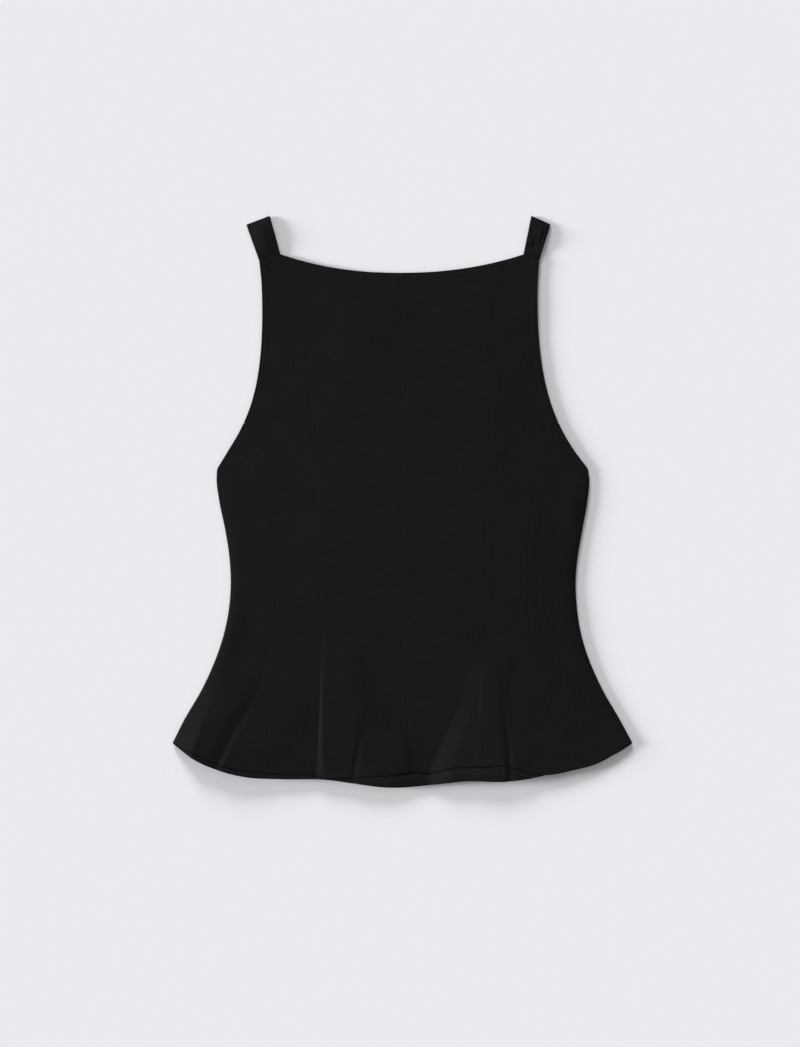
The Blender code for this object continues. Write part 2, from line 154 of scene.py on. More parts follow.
# Soft ridges (and, below zero, troughs) that the cloth keeps from being worn and laid down.
CREASES = table(
    "from_x from_y to_x to_y width height",
    (-64, 272, -54, 80, 36.0, 1.5),
    (-176, -55, -204, -222, 15.0, 1.0),
    (-194, 34, -176, -70, 9.0, 0.4),
    (-168, 24, -160, -44, 6.0, -0.25),
    (196, 38, 178, -58, 12.0, 0.5),
    (-72, -66, -42, -64, 1.8, 0.12),
    (-128, 58, -92, 38, 7.0, 0.16),
    (120, 66, 86, 42, 7.5, 0.18),
    (-60, 12, -24, -2, 9.0, 0.14),
    (30, 26, 70, 8, 10.0, 0.16),
    (-120, -96, -60, -88, 6.0, 0.14),
    (44, -92, 112, -101, 7.0, 0.16),
    (-180, -108, -134, -96, 5.0, 0.2),
    (186, -112, 140, -99, 5.5, 0.2),
    (-130, 196, -112, 138, 9.0, -0.16),
    (112, 214, 96, 150, 8.0, -0.16),
    (52, -140, 58, -196, 7.0, 0.2),
    (-124, -168, -128, -232, 8.0, 0.2),
    (172, -176, 196, -236, 7.0, 0.25),
    (-213, -209, -182, -209, 3.2, 0.35),
)
# The low swell of cloth that was pressed and has relaxed: plane waves of uneven length and direction.
SWELL = table(
    "angle length height phase",
    (12, 94.0, 0.12, 0.4),
    (71, 63.0, 0.08, 2.1),
    (128, 47.0, 0.05, 4.0),
    (164, 78.0, 0.10, 1.2),
    (38, 31.0, 0.02, 5.3),
    (103, 26.0, 0.02, 0.9),
)
NECK_LOW, NECK_POWER = (-4.0, 251.4), 2.2  # the neckline's lowest point, and the power that it climbs by
STRAP_FEET = {"left": ((-134.2, 272.0), (-157.5, 265.0)), "right": ((133.0, 271.7), (150.4, 265.0))}
SEAT_ARCH = 2.0  # how far the top edge arches up over each strap's foot
ALLOWANCE, FACING, HEM_DEPTH = 10.0, 9.0, 12.0  # widths of the doubled cloth at seams, free edges and hem
SEAM_GAP = 0.03  # how far each sewn edge is drawn in
BACK_GAP = 0.15  # least height of its underside above the back, near the sides
HEM_RISES = 0.3, 0.38  # how far the front's very hem stands up off the back: its upper and its lower face
# How far in from an edge its nearest points lie, close enough to turn the cloth there.
EDGE_OFFSETS = np.array([0, 0.1, 0.25, 0.45, 0.7, 1.0, 1.4, 1.9, 2.6, 3.4])


def curve(stations, values, at):
    """A smooth curve through a table's points: cubic pieces that share the slope at each point."""
    order = np.argsort(stations)
    s, v = np.asarray(stations, float)[order], np.asarray(values, float)[order]
    slope = np.gradient(v, s)
    at = np.clip(np.asarray(at, float), s[0], s[-1])
    i = np.clip(np.searchsorted(s, at) - 1, 0, len(s) - 2)
    width = s[i + 1] - s[i]
    t = (at - s[i]) / width
    return (
        (2 * t**3 - 3 * t**2 + 1) * v[i]
        + (t**3 - 2 * t**2 + t) * width * slope[i]
        + (3 * t**2 - 2 * t**3) * v[i + 1]
        + (t**3 - t**2) * width * slope[i + 1]
    )


def ease(t):
    """0 to 1 with no slope at either end."""
    t = np.clip(t, 0.0, 1.0)
    return t * t * (3 - 2 * t)


def bell(distance, width):
    """1 at no distance, falling off as a bell of that width."""
    return np.exp(-((distance / width) ** 2))


def edge(side, station):
    """x of the outline: the armhole above the underarm, and the side fold below it."""
    armhole = curve(ARMHOLE["station"], ARMHOLE[side], station)
    fold = curve(SIDE["station"], SIDE[side], station)
    return np.where(station > UNDERARM, armhole, fold)


def line_x(name, station):
    """x of one line of the front: a seam runs the whole length, and a crest only down the peplum."""
    flute = [FLUTES[column][LINES.index(name)] for column in ("release", "mid", "low", "hem")]
    peplum = [RELEASE, MID, LOW, HEM]
    if name.startswith("side_"):
        return edge(name[5:], station)
    if name not in BODY:
        return curve(peplum, flute, station)
    x = curve(np.concatenate([BODY["station"], peplum]), np.concatenate([BODY[name], flute]), station)
    if name.startswith("outer_"):  # above its seam, the line runs along the armhole
        x = np.where(station > SIDE_TIP, edge(name[6:], station), x)
    return x


def neck_y(x):
    """y of the front's top edge: a bowl that climbs as a power of the way to each strap, and half a sine wave
    of arch over each strap's foot."""
    low_x, low_y = NECK_LOW
    (left_x, left_y), (right_x, right_y) = STRAP_FEET["left"][0], STRAP_FEET["right"][0]
    half = np.where(x < low_x, left_x, right_x) - low_x
    rise = np.where(x < low_x, left_y, right_y) - low_y
    y = low_y + rise * np.clip((x - low_x) / half, 0, 1) ** NECK_POWER
    for (inner_x, inner_y), (outer_x, outer_y) in STRAP_FEET.values():
        share = np.clip((x - inner_x) / (outer_x - inner_x), 0, 1)
        seat = inner_y + share * (outer_y - inner_y) + SEAT_ARCH * np.sin(np.pi * share)
        y = np.where((x - inner_x) * np.sign(outer_x) > 0, seat, y)
    return y


def bend_rows(x, station, drop, hem_y):
    """y of a panel's rows: the station, bent to the neckline near the top and to the hem near the bottom."""
    y = station + ease((station - NECK_BLEND) / (TOP - NECK_BLEND)) * (neck_y(x) - drop - TOP)
    share = np.clip((HEM_BLEND - station) / (HEM_BLEND - HEM), 0, 1)
    return y + share * (hem_y - HEM)


def across(x, xs, heights, sharp):
    """Height between the lines, row by row: cubics that are level on round crests and in round valleys and
    never overshoot. Towards a sharp line a cubic straightens, so that the cloth turns there at an angle."""
    step = np.diff(xs, axis=0)
    rise = np.diff(heights, axis=0) / step
    before, after = rise[:-1], rise[1:]
    same_way = before * after > 0
    mean = 2 * before * after / np.where(same_way, before + after, 1)
    slope = np.concatenate([rise[:1], np.where(same_way, mean, 0), rise[-1:]])
    z = np.zeros(np.broadcast_shapes(x.shape, xs[0].shape))
    for k in range(len(xs) - 1):
        t = np.clip((x - xs[k]) / step[k], 0, 1)
        leaving = slope[k] + sharp[k] * (rise[k] - slope[k])
        arriving = slope[k + 1] + sharp[k + 1] * (rise[k] - slope[k + 1])
        cubic = (
            (2 * t**3 - 3 * t**2 + 1) * heights[k]
            + (t**3 - 2 * t**2 + t) * step[k] * leaving
            + (3 * t**2 - 2 * t**3) * heights[k + 1]
            + (t**3 - t**2) * step[k] * arriving
        )
        z = np.where(x >= xs[k], cubic, z)
    return z


def flute_height(x, station):
    """Height of the flutes: a line's lift grows as a power of the way from its start to the hem."""
    xs = np.stack([line_x(name, station) for name in LINES])
    start, lift, power = (FLUTES[column][:, None, None] for column in ("start", "lift", "power"))
    heights = lift * np.clip((start - station) / (start - HEM), 0, 1) ** power
    return across(x, xs, heights, FLUTES["sharp"])


def puff(x, station):
    """A low arch from side to side, a parabola each way from its peak, that leaves each side fold as a soft
    roll: the roll comes up as 1 less an exponential of the distance from the edge."""
    left, right = edge("left", station), edge("right", station)
    reach = np.where(x < PUFF_PEAK, PUFF_PEAK - left, right - PUFF_PEAK)
    arch = 1 - np.clip((x - PUFF_PEAK) / reach, -1, 1) ** 2
    roll = 1 - np.exp(-np.minimum(x - left, right - x) / ROLL_REACH)
    height, rolled = (curve(PUFF["station"], PUFF[column], station) for column in ("height", "roll"))
    return height * arch + rolled * roll


def creases(x, y):
    """The sum of the creases: each a bell across its line that swells from nothing at its ends."""
    z = np.zeros(x.shape)
    for x0, y0, x1, y1, width, height in zip(*CREASES.values()):
        length = np.hypot(x1 - x0, y1 - y0)
        along = ((x - x0) * (x1 - x0) + (y - y0) * (y1 - y0)) / length**2
        off = ((x - x0) * (y1 - y0) - (y - y0) * (x1 - x0)) / length
        z += height * bell(off, width) * np.sin(np.pi * np.clip(along, 0, 1)) ** 1.5
    return z


def swell(x, y):
    """The sum of the plane waves of SWELL."""
    z = np.zeros(x.shape)
    for angle, length, height, phase in zip(*SWELL.values()):
        along = x * np.cos(np.radians(angle)) + y * np.sin(np.radians(angle))
        z += height * np.sin(2 * np.pi * along / length + phase)
    return z


def seam_relief(distance, along):
    """Height near a pressed seam: a groove where the edges turn in, a flat ridge over the allowance behind,
    a faint print of its edge, and puckers, two sine waves that die out away from the stitches."""
    groove = -0.05 * bell(distance, 0.5)
    ridge = 0.03 * ease(distance / 1.6) * ease((ALLOWANCE + 0.5 - distance) / 2.0)
    edge_print = -0.015 * bell(distance - ALLOWANCE - 1.0, 0.9)
    waves = np.sin(along / 1.35 + 1.7 * np.sin(along / 11.0)) + 0.6 * np.sin(along / 2.3 + 2.0)
    pucker = 0.03 * waves * np.exp(-distance / 4.5) * ease(distance / 0.8)
    return groove + ridge + edge_print + pucker


def edge_relief(distance, along):
    """Height near a faced edge: full over the facing, with a line of stitches that draws it down."""
    stitch = 0.85 + 0.15 * np.sin(2 * np.pi * along / 2.6)
    return 0.12 * ease((FACING - distance) / 4.0) - 0.16 * stitch * bell(distance - 2.6, 0.5)


def hem_relief(distance, along):
    """Height near the hem: fuller over the turned-up cloth, and a print of where that is caught down."""
    caught = 0.8 + 0.2 * np.sin(2 * np.pi * along / 6.5)
    return 0.14 * ease((HEM_DEPTH - distance) / 1.5) - 0.12 * caught * bell(distance - HEM_DEPTH - 0.5, 0.9)


def rim_profile(distance, thickness):
    """Share of its thickness that the cloth keeps near a turned edge: half an ellipse."""
    return np.sqrt(1 - (1 - np.clip(distance / (0.5 * thickness), 0.02, 1)) ** 2)


def side_turn(distance):
    """Share of the way to the side seam that the cloth has turned over near a side fold: a quarter circle."""
    return 1 - np.sqrt(1 - (1 - np.clip(distance / SIDE_SEAM, 0, 1)) ** 2)


def spaced_rows(top, bottom, fine=0.0):
    """Stations from top to bottom as a column, close together at both ends and over a fine stretch above the
    bottom."""
    last = bottom + EDGE_OFFSETS[-1]
    middle = np.linspace(top - EDGE_OFFSETS[-1], last + fine, int((top - bottom - fine) / DOWN))
    finer = np.linspace(last + fine, last, int(fine / FINE) + 1)[1:]
    return np.concatenate([top - EDGE_OFFSETS[:-1], middle, finer, bottom + EDGE_OFFSETS[-2::-1]])[:, None]


def spaced_columns(left, right, apart):
    """x from left to right on each row, close together at both edges, where the cloth turns."""
    width = right - left
    fit = np.minimum(1, width / (4 * EDGE_OFFSETS[-1]))
    count = int(width.max() / apart)
    near_left, near_right = left + fit * EDGE_OFFSETS, right - fit * EDGE_OFFSETS[::-1]
    share = np.linspace(0, 1, count + 2)[1:-1]
    middle = near_left[:, -1:] + share * (near_right[:, :1] - near_left[:, -1:])
    return np.concatenate([near_left, middle, near_right], axis=1)


def normals_of(surface):
    """Unit normals of a grid of points, from its neighbours down and across, towards its upper face."""
    normal = np.cross(np.gradient(surface, axis=0), np.gradient(surface, axis=1))
    return normal / np.linalg.norm(normal, axis=2, keepdims=True)


SHARP_TURN = 60  # degrees between two faces from which the edge between them is drawn hard


def shell(name, upper, lower, material):
    """A closed piece of cloth between two grids of points in millimetres, rows by columns. Its UV is the
    length along the cloth in metres, from the middle column and the middle row. Gives the piece, the cloth's
    flat width and length, and its area."""
    rows, columns = upper.shape[:2]
    points = np.concatenate([upper.reshape(-1, 3), lower.reshape(-1, 3)]) * MM
    index = np.arange(rows * columns).reshape(rows, columns)
    faces = np.stack([index[:-1, :-1], index[1:, :-1], index[1:, 1:], index[:-1, 1:]], -1).reshape(-1, 4)
    ring = np.concatenate([index[0, :-1], index[:-1, -1], index[-1, :0:-1], index[:0:-1, 0]])
    after = np.roll(ring, -1)
    rim = np.stack([ring, after, after + rows * columns, ring + rows * columns], -1)
    under = faces[:, ::-1] + rows * columns
    mesh = bpy.data.meshes.new(name)
    mesh.from_pydata(points, [], np.concatenate([faces, under, rim]))
    middle = (upper + lower) / 2 * MM
    across_step = np.linalg.norm(np.diff(middle, axis=1, prepend=middle[:, :1]), axis=2).cumsum(1)
    down_step = np.linalg.norm(np.diff(middle, axis=0, prepend=middle[:1]), axis=2).cumsum(0)
    u = across_step - across_step[:, columns // 2 : columns // 2 + 1]
    v = down_step[rows // 2 : rows // 2 + 1] - down_step
    uv = np.tile(np.stack([u, v], -1).reshape(-1, 2), (2, 1))
    corners = np.empty(len(mesh.loops), int)
    mesh.loops.foreach_get("vertex_index", corners)
    mesh.uv_layers.new(name="cloth").data.foreach_set("uv", uv[corners].ravel())
    mesh.shade_smooth()
    mesh.set_sharp_from_angle(angle=np.radians(SHARP_TURN))
    piece = bpy.data.objects.new(name, mesh)
    piece.data.materials.append(material)
    bpy.context.scene.collection.objects.link(piece)
    span = across_step[:, -1].max(), down_step[-1].max()
    down, along = middle[1:, :-1] - middle[:-1, :-1], middle[:-1, 1:] - middle[:-1, :-1]
    return piece, span, np.linalg.norm(np.cross(down, along), axis=2).sum()


# The crepe: a hard-twisted yarn makes its face a fine, dry pebble with hardly a lustre.
def crepe_weave():
    """Node group: the pebble's height, and how much lighter or darker the yarns are from place to place."""
    group = bpy.data.node_groups.new("crepe_weave", "ShaderNodeTree")
    face = group.interface
    face.new_socket("Vector", in_out="INPUT", socket_type="NodeSocketVector")
    face.new_socket("Pebbles per metre", in_out="INPUT", socket_type="NodeSocketFloat")
    face.new_socket("Height", in_out="OUTPUT", socket_type="NodeSocketFloat")
    face.new_socket("Tone", in_out="OUTPUT", socket_type="NodeSocketFloat")
    nodes, links = group.nodes, group.links
    given, made = nodes.new("NodeGroupInput"), nodes.new("NodeGroupOutput")
    stretch = nodes.new("ShaderNodeVectorMath")
    stretch.operation = "MULTIPLY"
    stretch.inputs[1].default_value = (1.0, 0.62, 1.0)  # the pebbles are longer down the warp
    links.new(given.outputs["Vector"], stretch.inputs[0])
    pebble = nodes.new("ShaderNodeTexVoronoi")
    pebble.feature = "SMOOTH_F1"
    pebble.inputs["Smoothness"].default_value = 0.6
    links.new(stretch.outputs[0], pebble.inputs["Vector"])
    links.new(given.outputs["Pebbles per metre"], pebble.inputs["Scale"])
    uneven = nodes.new("ShaderNodeTexNoise")
    uneven.inputs["Scale"].default_value = 420.0
    uneven.inputs["Detail"].default_value = 3.0
    links.new(given.outputs["Vector"], uneven.inputs["Vector"])
    height = nodes.new("ShaderNodeMath")
    height.operation = "MULTIPLY_ADD"
    height.inputs[1].default_value = -0.7
    links.new(pebble.outputs["Distance"], height.inputs[0])
    links.new(uneven.outputs["Fac"], height.inputs[2])
    links.new(height.outputs[0], made.inputs["Height"])
    drift = nodes.new("ShaderNodeTexNoise")
    drift.inputs["Scale"].default_value = 22.0
    drift.inputs["Detail"].default_value = 5.0
    drift.inputs["Roughness"].default_value = 0.62
    links.new(given.outputs["Vector"], drift.inputs["Vector"])
    links.new(drift.outputs["Fac"], made.inputs["Tone"])
    return group


CREPE_WEAVE = crepe_weave()


def crepe(name, dark, light, roughness):
    """Matt black crepe, between two near blacks."""
    material = bpy.data.materials.new(name)
    material.use_nodes = True
    nodes, links = material.node_tree.nodes, material.node_tree.links
    shader = nodes["Principled BSDF"]
    shader.inputs["Metallic"].default_value = 0.0
    shader.inputs["Specular IOR Level"].default_value = 0.01
    place = nodes.new("ShaderNodeUVMap")
    place.uv_map = "cloth"
    weave = nodes.new("ShaderNodeGroup")
    weave.node_tree = CREPE_WEAVE
    weave.inputs["Pebbles per metre"].default_value = 1250.0
    links.new(place.outputs["UV"], weave.inputs["Vector"])
    tone = nodes.new("ShaderNodeMix")
    tone.data_type = "RGBA"
    tone.inputs["A"].default_value = (*dark, 1.0)
    tone.inputs["B"].default_value = (*light, 1.0)
    links.new(weave.outputs["Tone"], tone.inputs["Factor"])
    links.new(tone.outputs["Result"], shader.inputs["Base Color"])
    rough = nodes.new("ShaderNodeMapRange")
    rough.inputs["To Min"].default_value = roughness - 0.06
    rough.inputs["To Max"].default_value = roughness + 0.06
    links.new(weave.outputs["Height"], rough.inputs["Value"])
    links.new(rough.outputs["Result"], shader.inputs["Roughness"])
    bump = nodes.new("ShaderNodeBump")
    bump.inputs["Strength"].default_value = 0.55
    bump.inputs["Distance"].default_value = 0.00018
    links.new(weave.outputs["Height"], bump.inputs["Height"])
    links.new(bump.outputs["Normal"], shader.inputs["Normal"])
    return material


BLACK_CREPE = crepe("black_crepe", (0.0080, 0.0071, 0.0077), (0.0120, 0.0106, 0.0115), 0.94)


def front_panel(name, first_line, last_line):
    """One panel's shell. Its middle surface is the sum of the flutes, the puff, the creases, the swell and
    the relief of its seams and edges. The cloth's two faces lie half its thickness either side of that."""
    at_side = first_line == "side_left" or last_line == "side_right"
    station = spaced_rows(SIDE_TIP if at_side else TOP, HEM)
    x = spaced_columns(line_x(first_line, station), line_x(last_line, station), ACROSS)
    hem_y = curve(FLUTES["hem"], FLUTES["hem_y"], x[-1])
    y = bend_rows(x, station, 0.0, hem_y)
    from_left, from_right = x - x[:, :1], x[:, -1:] - x
    from_top, from_hem = neck_y(x) - y, y - y[-1:]
    z = FRONT_TOP - CLOTH / 2 + flute_height(x, station) + puff(x, station) + creases(x, y) + swell(x, y)
    keep = np.ones(x.shape)
    for distance, line in ((from_left, first_line), (from_right, last_line)):
        # An outer line is a seam up to the armhole and a free edge beside it.
        free = ease((station - SIDE_TIP + 4) / 8) if line.startswith("outer_") else 0.0 * station
        if line.startswith("side_"):
            closed = ease((UNDERARM + 2 - station) / 12)  # the side seam starts at the underarm
            z = z - closed * (z - SIDE_SEAM) * side_turn(distance)
            free = 1 + 0 * station
            keep *= rim_profile(distance, CLOTH)
        else:
            keep *= 1 - free * (1 - rim_profile(distance, CLOTH))
        z = z + (1 - free) * seam_relief(distance, y) + free * edge_relief(distance, y) * (1 - at_side)
    if not at_side:
        z = z + edge_relief(from_top, x)
        keep *= rim_profile(from_top, CLOTH)
    z = z + hem_relief(from_hem, x)
    keep *= rim_profile(from_hem, CLOTH)
    middle = np.stack([x, y, z], -1)
    offset = normals_of(middle) * (keep * CLOTH / 2)[..., None]
    upper, lower = middle + offset, middle - offset
    lower[..., 2] = np.maximum(lower[..., 2], np.minimum(BACK_TOP + BACK_GAP, z))
    turned_up = keep * ease((9.0 - from_hem) / 7.0) * (z > BACK_TOP + 1.0)
    for face, rise in zip((upper, lower), HEM_RISES):
        face[..., 2] += rise * turned_up
        # Beside a seam no point passes its own edge, so that two panels don't touch there.
        if not first_line.startswith("side_"):
            face[..., 0] = np.maximum(face[..., 0], x[:, :1] + SEAM_GAP + 0.5 * from_left)
        if not last_line.startswith("side_"):
            face[..., 0] = np.minimum(face[..., 0], x[:, -1:] - SEAM_GAP - 0.5 * from_right)
        face[:, 0, 0] = x[:, 0] + SEAM_GAP
        face[:, -1, 0] = x[:, -1] - SEAM_GAP
    piece, span, area = shell(name + "_crepe", upper, lower, BLACK_CREPE)
    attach(piece, "root")
    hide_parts(name)


front_panel("front_side_left", "side_left", "outer_left")
front_panel("front_middle_left", "outer_left", "inner_left")
front_panel("front_centre_left", "inner_left", "centre")
front_panel("front_centre_right", "centre", "inner_right")
front_panel("front_middle_right", "inner_right", "outer_right")
front_panel("front_side_right", "outer_right", "side_right")

# ---------------------------------------------------------------------------------------------------------
# The back: three panels of the same crepe, flat on the table. Its hem shows below the front's wherever a
# flute draws that up, so the turned-up cloth and the seam allowances on its inside are modelled too.

BACK_DROP = 2.0  # how much lower its top edge lies than the front's
BACK_INSET = 0.8  # how far it keeps in from the front's edge at the armholes
BACK_ACROSS = 1.9  # distance across between the points of the plainer back
FINE_REACH = 9.0  # height of the stretch above its hem that has closer rows
DOUBLED = 0.2  # how much thicker it is where its hem is turned up
BACK_SEAM_GAP, BACK_SLANT = 0.04, 0.05  # how far its sewn edges are drawn in, and how far they slant
# Where its hem runs.
BACK_HEM = table(
    "x y",
    (-252.5, -266.0),
    (-227.0, -283.9),
    (-200.0, -295.4),
    (-174.0, -302.0),
    (-134.0, -304.7),
    (-81.0, -305.6),
    (-55.0, -309.2),
    (-15.0, -313.9),
    (37.0, -310.6),
    (64.0, -307.2),
    (117.0, -307.0),
    (143.0, -303.4),
    (170.0, -297.0),
    (209.0, -287.0),
    (235.0, -276.8),
    (252.5, -266.0),
)
# Below the first y the back rises from the table, to lie close under the front's flutes from the second down.
NEST_FROM, NEST_TO = -205, -262
HEM_TIP, TIP_REACH = 0.16, 8  # slope at which its hem tips up where it shows, and how far down it still does
# How far its hem comes up just beyond the front's.
HEM_LIP = table(
    "x rise",
    (-170, 0.8),
    (-140, 0.6),
    (-115, 0.5),
    (-14, 0.5),
    (2, 0.0),
    (32, 0.0),
    (48, 0.3),
    (110, 0.5),
)
# x of its seams where the front's let go, at the station below and at the hem.
BACK_SEAMS = {"left": (-91.0, -100.0, -110.5), "right": (91.0, 100.0, 110.5)}


def back_seam(side, station):
    """x of a seam of the back: under the front's inner one on the body, and flared in the peplum."""
    stations = np.concatenate([BODY["station"], [RELEASE, MID, HEM]])
    return curve(stations, np.concatenate([BODY["inner_" + side], BACK_SEAMS[side]]), station)


def front_station(x, y):
    """The station of the front's row that passes over each point, and y of the front's hem below it. Each
    column bends to the hem by its own amount, so the station is found by repeating the bend's inverse."""
    station = np.maximum(y, HEM)
    for _ in range(4):
        xs = np.stack([line_x(name, station) for name in LINES])
        hem_x = across(x, xs, FLUTES["hem"][:, None, None] + 0 * xs, np.ones(len(LINES)))
        hem_y = curve(FLUTES["hem"], FLUTES["hem_y"], hem_x)
        share = (HEM_BLEND - y) / (HEM_BLEND - hem_y)
        station = np.where(y < HEM_BLEND, np.maximum(HEM, HEM_BLEND - share * (HEM_BLEND - HEM)), y)
    return station, hem_y


def nest(x, y):
    """How far the back rises: as the front does over it, a little more towards the front's hem and at the lip
    just beyond that, and by the slope of the part that shows."""
    station, front_hem_y = front_station(x, y)
    front_rise = flute_height(x, station) + puff(x, station) + creases(x, y) + swell(x, y)
    below = front_hem_y - y
    lip = np.interp(x, HEM_LIP["x"], HEM_LIP["rise"]) * ease((below - 0.3) / 0.9)
    close = 0.3 + 0.8 * ease((below + 3.5) / 4.0) + lip
    tipped = HEM_TIP * np.clip(below, 0, TIP_REACH)
    rise = np.maximum(front_rise + (close + tipped) * ease(front_rise / 0.6), 0)
    return ease((NEST_FROM - y) / (NEST_FROM - NEST_TO)) * rise


def back_panel(name, first, last):
    """One panel's shell: flat below and thicker above by its allowances and its turned-up hem, and both faces
    raised as nest says."""
    station = spaced_rows(TOP, HEM, FINE_REACH)
    ends = []
    for line, inward in ((first, 1), (last, -1)):
        if line.startswith("side_"):
            inset = BACK_INSET * ease((station - UNDERARM) / 10)
            ends.append(edge(line[5:], station) + inward * inset)
        else:
            ends.append(back_seam(line[5:], station))
    x = spaced_columns(*ends, BACK_ACROSS)
    y = bend_rows(x, station, BACK_DROP, curve(BACK_HEM["x"], BACK_HEM["y"], x[-1]))
    from_left, from_right = x - x[:, :1], x[:, -1:] - x
    from_top, from_hem = neck_y(x) - BACK_DROP - y, y - y[-1:]
    upper_z = BACK_TOP - DOUBLED + DOUBLED * ease((HEM_DEPTH - from_hem) / 0.8)
    lower_z = np.zeros(x.shape)
    for distance, line in ((from_left, first), (from_right, last)):
        if line.startswith("side_"):
            lower_z = lower_z + side_turn(distance) * (BACK_TOP - 0.1)
        else:
            upper_z = upper_z + 0.15 * ease((ALLOWANCE - distance) / 0.8) - 0.3 * bell(distance, 0.4)
            lower_z = lower_z + 0.35 * bell(distance, 0.5)
    rise = nest(x, y)
    upper_z, lower_z = upper_z + rise, lower_z + rise
    keep = rim_profile(from_top, BACK_TOP) * rim_profile(from_hem, BACK_TOP)
    middle_z, half = (upper_z + lower_z) / 2, (upper_z - lower_z) / 2 * keep
    upper = np.stack([x, y, middle_z + half], -1)
    lower = np.stack([x, y, middle_z - half], -1)
    # Sewn edges slant the same way, a hair apart, so that no light comes up between two panels.
    for face, slant in ((upper, -BACK_SLANT), (lower, BACK_SLANT)):
        face[:, 0, 0] += (slant + BACK_SEAM_GAP) * (not first.startswith("side_"))
        face[:, -1, 0] += (slant - BACK_SEAM_GAP) * (not last.startswith("side_"))
    piece, span, area = shell(name + "_crepe", upper, lower, BLACK_CREPE)
    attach(piece, "root")
    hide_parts(name)


back_panel("back_side_left", "side_left", "seam_left")
back_panel("back_centre", "seam_left", "seam_right")
back_panel("back_side_right", "seam_right", "side_right")

# ---------------------------------------------------------------------------------------------------------
# The straps: each a ribbon of the crepe, gathered a little into the front's top corner, widening to the fold
# over the shoulder and running down behind to the back's corner.

STRAP_CLOTH, STRAP_WIDTH = 0.8, 22.0
TURN = 1.1  # half the height of the fold
TUCK = 1.7  # how far the ribbon's end goes in behind the front's edge
BACK_TUCK = 1.6  # how far its other end runs past that edge, to just above the back's
STRAP_COLUMNS, STRAP_ROWS, TURN_ROWS = 49, 90, 12
STRAP_FOLDS = {"left": ((-171.6, 304.1), (-145.8, 313.9)), "right": ((162.7, 304.4), (141.6, 313.9))}
# How far the upper ribbon stands above the fold's height, at distances up from its foot and from its outer
# edge to its inner one. The left tips up towards the neck, and the right is a pillow that sinks to its foot.
STRAP_SHARES = np.array([0.0, 0.12, 0.3, 0.55, 0.72, 0.9, 1.0])
STRAP_RISES = {
    "left": table(
        "up outer near_outer outer_third middle inner_third near_inner inner",
        (-4, 0.0, 0.0, 0.0, 0.0, 0.0, 0.0, 0.0),
        (1, 0.0, 0.2, 0.2, 0.3, 0.3, 0.3, 0.4),
        (8, -0.3, 0.3, 0.9, 1.3, 1.1, 1.1, 1.1),
        (18, -0.4, 0.5, 1.6, 2.4, 2.2, 2.0, 1.8),
        (30, -0.4, 0.5, 1.7, 2.5, 2.3, 2.1, 1.9),
        (38, -0.2, 0.2, 0.8, 1.3, 1.2, 1.2, 1.1),
        (42, 0.0, 0.0, 0.0, 0.0, 0.0, 0.0, 0.0),
    ),
    "right": table(
        "up outer near_outer outer_third middle inner_third near_inner inner",
        (-4, 0.0, 0.0, 0.0, 0.0, 0.0, 0.0, 0.0),
        (4, 0.1, 0.2, 0.2, 0.2, 0.2, 0.2, 0.2),
        (12, 0.6, 0.4, 0.3, 0.3, 0.3, 0.4, 0.3),
        (19, 1.6, 1.5, 1.3, 1.1, 1.3, 1.4, 1.3),
        (26, 1.2, 2.0, 2.2, 1.9, 1.7, 1.6, 1.4),
        (33, 0.5, 1.7, 1.9, 1.6, 1.3, 1.0, 0.8),
        (41, 0.0, 0.0, 0.0, 0.0, 0.0, 0.0, 0.0),
    ),
}
# Short creases: where each lies (share from the outer edge, distance up), its reach in each and its height.
STRAP_CREASES = {
    "left": table(
        "share up wide long height",
        (0.52, 4.0, 0.05, 1.6, 0.22),
        (0.66, 11.0, 0.06, 5.0, -0.16),
        (0.25, 6.0, 0.07, 3.0, -0.12),
        (0.78, 34.0, 0.08, 3.0, -0.15),
    ),
    "right": table(
        "share up wide long height",
        (0.72, 11.3, 0.32, 1.4, -0.6),
        (0.76, 15.0, 0.28, 1.6, 0.35),
        (0.48, 13.0, 0.12, 3.5, -0.6),
        (0.2, 27.0, 0.06, 9.0, -0.45),
        (0.55, 8.5, 0.12, 1.6, 0.2),
        (0.72, 6.0, 0.05, 1.2, -0.15),
        (0.4, 2.5, 0.05, 1.2, -0.15),
    ),
}


